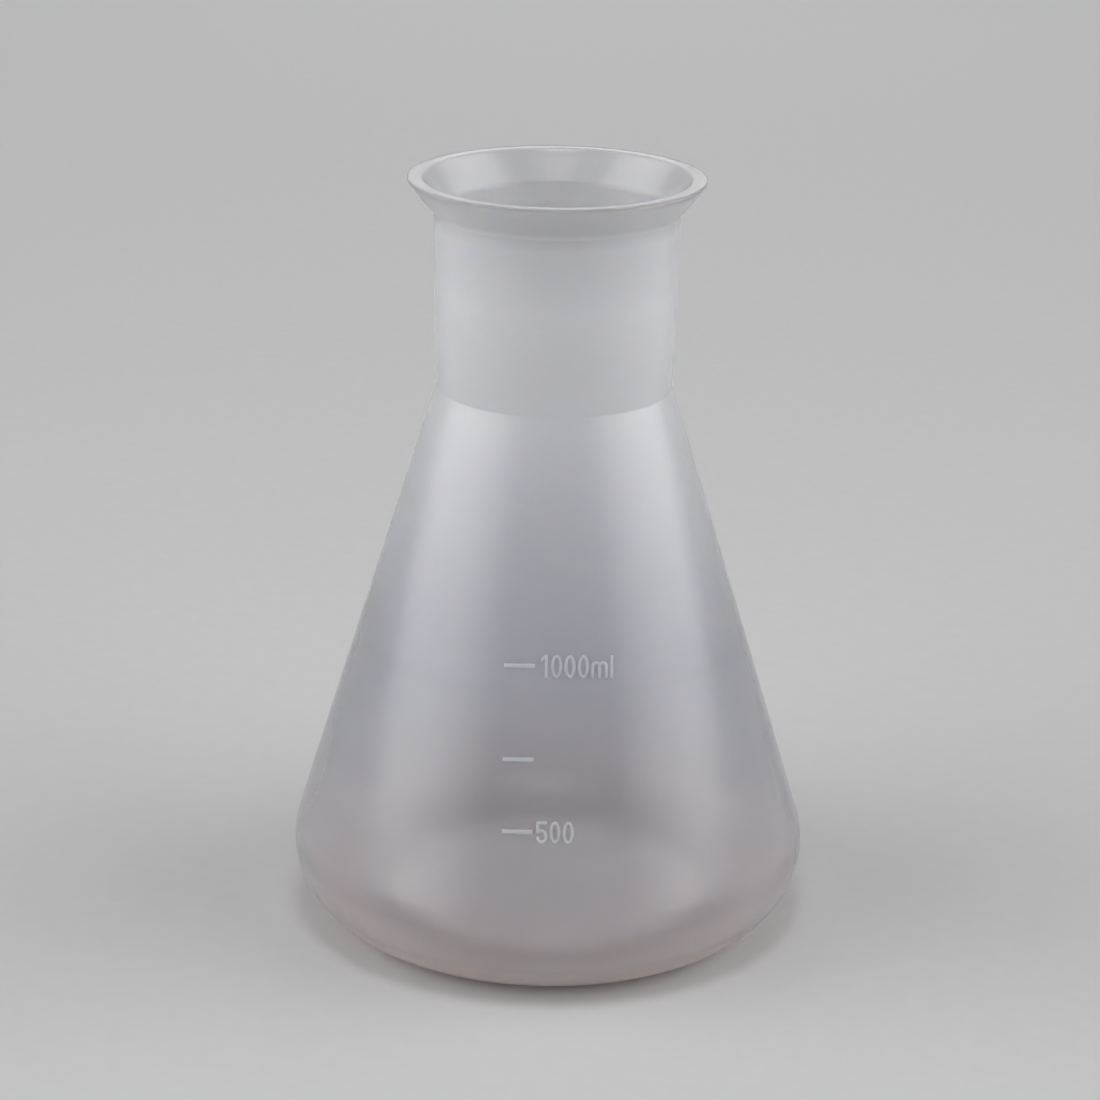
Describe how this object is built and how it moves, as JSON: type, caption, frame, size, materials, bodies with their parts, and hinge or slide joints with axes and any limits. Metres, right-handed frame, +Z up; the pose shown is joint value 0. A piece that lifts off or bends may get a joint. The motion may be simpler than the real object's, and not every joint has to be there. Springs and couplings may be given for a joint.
{
  "type": "conical flask",
  "caption": "Wide-necked conical laboratory flask of translucent plastic with a flared flat rim, a rounded heel and a raised scale in millilitres; it holds, mixes and pours liquids.",
  "frame": {"origin": "centre of the standing ring, on the surface the flask stands on", "axes": "+Z up along the flask's axis to the mouth, -Y to the front where the scale is, +X to the right seen from the front"},
  "size_m": [0.14, 0.14, 0.2054],
  "materials": {
    "polypropylene": "natural milky polypropylene, translucent, smooth satin gloss from the mould",
    "raised_marks": "the same natural polypropylene, raised, with crisp edges that catch the light"
  },
  "bodies": {
    "root": {"flask_body": "polypropylene", "flask_base": "polypropylene", "graduation_line_1000": "raised_marks", "graduation_line_750": "raised_marks", "graduation_line_500": "raised_marks", "numerals_1000_ml": "raised_marks", "numerals_500": "raised_marks"}
  },
  "joints": []
}
